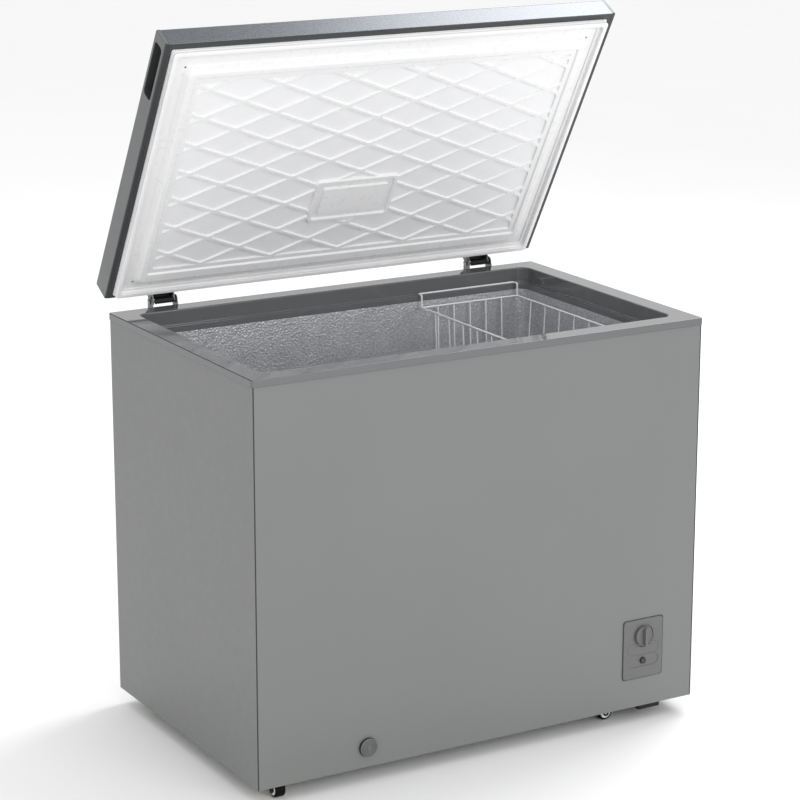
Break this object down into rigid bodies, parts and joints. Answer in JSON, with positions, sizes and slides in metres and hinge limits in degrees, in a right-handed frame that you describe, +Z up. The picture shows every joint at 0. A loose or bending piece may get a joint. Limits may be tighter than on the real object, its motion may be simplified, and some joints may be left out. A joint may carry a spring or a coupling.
{
  "type": "chest freezer",
  "caption": "Free-standing chest freezer with a hinged quilted lid, wire basket, front temperature knob, drain cap and casters.",
  "frame": {"origin": "on the floor under the middle of the outline of the freezer with its lid open at 60 degrees", "axes": "+Z up, +X to the right of someone facing the front, +Y from the front to the hinges"},
  "size_m": [0.9624, 0.6656, 1.3582],
  "materials": {
    "painted_steel": "satin",
    "lid_steel": "satin",
    "rim_plastic": "satin",
    "dark_plastic": "satin",
    "black_plastic": "matte",
    "black_steel": "satin",
    "white_liner": "satin",
    "white_nylon": "satin",
    "gasket_vinyl": "satin",
    "foam": "matte",
    "embossed_aluminium": "satin",
    "zinc_steel": "satin",
    "chrome": "polished",
    "coated_wire": "gloss",
    "copper": "satin",
    "panel_plastic": "satin",
    "rubber": "matte",
    "green_lens": "gloss"
  },
  "bodies": {
    "cabinet": {"front_panel": "painted_steel", "left_side_panel": "painted_steel", "right_side_panel": "painted_steel", "back_panel": "painted_steel", "base_pan": "painted_steel", "cabinet_foam": "foam", "liner_front_wall": "embossed_aluminium", "liner_back_wall": "embossed_aluminium", "liner_left_wall": "embossed_aluminium", "liner_right_wall": "embossed_aluminium", "liner_floor": "embossed_aluminium", "liner_step": "embossed_aluminium", "top_frame": "rim_plastic", "evaporator_tube": "embossed_aluminium", "condenser_tube": "copper", "compartment_shroud": "zinc_steel", "compressor_tray": "black_steel", "compressor": "black_steel", "discharge_tube": "copper", "suction_tube": "copper", "rear_cover": "zinc_steel", "cord_gland": "black_plastic", "side_vent_grille": "dark_plastic", "control_panel": "panel_plastic", "thermostat_body": "zinc_steel", "power_lamp": "green_lens", "drain_pipe": "white_nylon", "hinge_lower_bracket_left": "zinc_steel", "hinge_lower_bracket_right": "zinc_steel", "hinge_pin_left": "chrome", "hinge_pin_right": "chrome", "hinge_spring_left": "chrome", "hinge_spring_right": "chrome", "rear_left_caster_bracket": "black_steel", "rear_right_caster_bracket": "black_steel"},
    "lid": {"lid_skin": "lid_steel", "lid_frame": "dark_plastic", "lid_end_cap_left": "rim_plastic", "lid_end_cap_right": "rim_plastic", "lid_foam": "foam", "lid_liner": "white_liner", "lid_gasket": "gasket_vinyl", "hinge_upper_bracket_left": "zinc_steel", "hinge_upper_bracket_right": "zinc_steel", "hinge_cover_left": "black_plastic", "hinge_cover_right": "black_plastic"},
    "basket": {"basket_front": "coated_wire", "basket_back": "coated_wire", "basket_left": "coated_wire", "basket_right": "coated_wire", "basket_floor": "coated_wire"},
    "knob": {"thermostat_knob": "panel_plastic"},
    "drain_cap": {"drain_cap": "panel_plastic"},
    "drain_plug": {"drain_plug": "rubber"},
    "front_left_fork": {"front_left_caster_fork": "black_plastic"},
    "front_left_wheel": {"front_left_wheel": "rubber"},
    "front_right_fork": {"front_right_caster_fork": "black_plastic"},
    "front_right_wheel": {"front_right_wheel": "rubber"},
    "rear_left_wheel": {"rear_left_wheel": "rubber"},
    "rear_right_wheel": {"rear_right_wheel": "rubber"}
  },
  "joints": [
    {"name": "lid_hinge", "type": "hinge", "parent": "cabinet", "child": "lid", "pos_m": [0, 0.29801, 0.8003], "axis": [1, 0, 0], "range_deg": [-18, 60]},
    {"name": "basket_slide", "type": "slide", "parent": "cabinet", "child": "basket", "axis": [1, 0, 0], "range_m": [-0.6, 0]},
    {"name": "knob_turn", "type": "hinge", "parent": "cabinet", "child": "knob", "pos_m": [0.3589, -0.31709, 0.1775], "axis": [0, 1, 0], "range_deg": [-140, 140]},
    {"name": "drain_cap_pull", "type": "slide", "parent": "cabinet", "child": "drain_cap", "axis": [0, -1, 0], "range_m": [0, 0.03]},
    {"name": "drain_plug_lift", "type": "slide", "parent": "cabinet", "child": "drain_plug", "axis": [0, 0, 1], "range_m": [0, 0.05]},
    {"name": "front_left_swivel", "type": "hinge", "parent": "cabinet", "child": "front_left_fork", "pos_m": [-0.423, -0.27259, 0.015], "axis": [0, 0, 1], "continuous": true},
    {"name": "front_left_spin", "type": "hinge", "parent": "front_left_fork", "child": "front_left_wheel", "pos_m": [-0.423, -0.28659, 0.015], "axis": [1, 0, 0], "continuous": true},
    {"name": "front_right_swivel", "type": "hinge", "parent": "cabinet", "child": "front_right_fork", "pos_m": [0.317, -0.26859, 0.015], "axis": [0, 0, 1], "continuous": true},
    {"name": "front_right_spin", "type": "hinge", "parent": "front_right_fork", "child": "front_right_wheel", "pos_m": [0.303, -0.26859, 0.015], "axis": [0, 1, 0], "continuous": true},
    {"name": "rear_left_spin", "type": "hinge", "parent": "cabinet", "child": "rear_left_wheel", "pos_m": [-0.432, 0.20341, 0.015], "axis": [1, 0, 0], "continuous": true},
    {"name": "rear_right_spin", "type": "hinge", "parent": "cabinet", "child": "rear_right_wheel", "pos_m": [0.303, 0.20341, 0.015], "axis": [1, 0, 0], "continuous": true}
  ]
}
